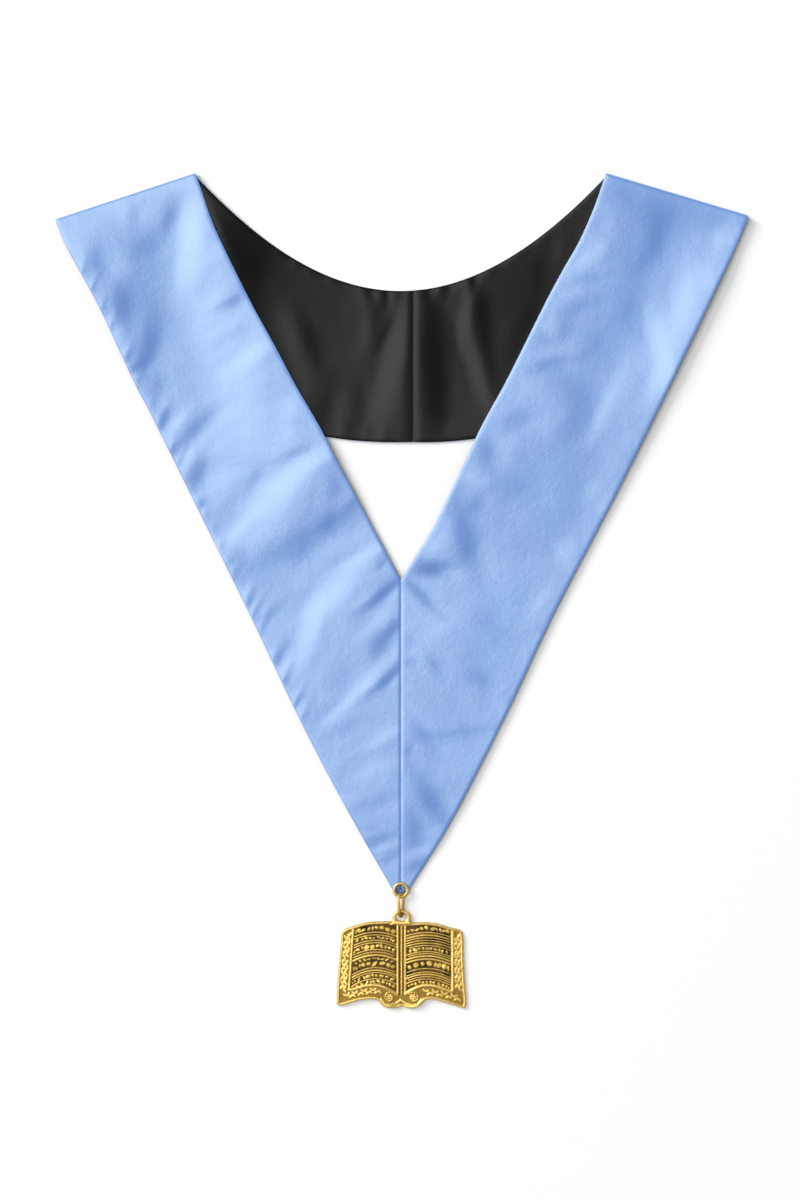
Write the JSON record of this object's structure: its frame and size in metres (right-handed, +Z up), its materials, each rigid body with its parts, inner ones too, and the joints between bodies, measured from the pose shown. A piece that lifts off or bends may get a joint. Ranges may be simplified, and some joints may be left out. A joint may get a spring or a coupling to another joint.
{
  "type": "masonic collar with a book jewel",
  "caption": "V-shaped satin ribbon collar lying flat, straps folded forward over the black-lined neck panel, with a sewn ring, a long link and a cast open-book jewel at its tip.",
  "frame": {"origin": "on the floor under the middle of the whole object's box, as it lies flat", "axes": "+X to the right across the straps, +Y from the jewel towards the neck, +Z up out of the floor"},
  "size_m": [0.4778, 0.576, 0.007],
  "materials": {
    "satin": "light blue ribbon satin, soft sheen, fine grain",
    "lining": "black lining satin with soft folds",
    "gold": "antique gold plate, dark in the recesses and bright on the relief"
  },
  "bodies": {
    "root": {"satin_left": "satin", "satin_right": "satin", "lining_left": "lining", "lining_right": "lining", "sewn_ring": "gold", "jewel_link": "gold", "book_jewel": "gold"}
  },
  "joints": []
}
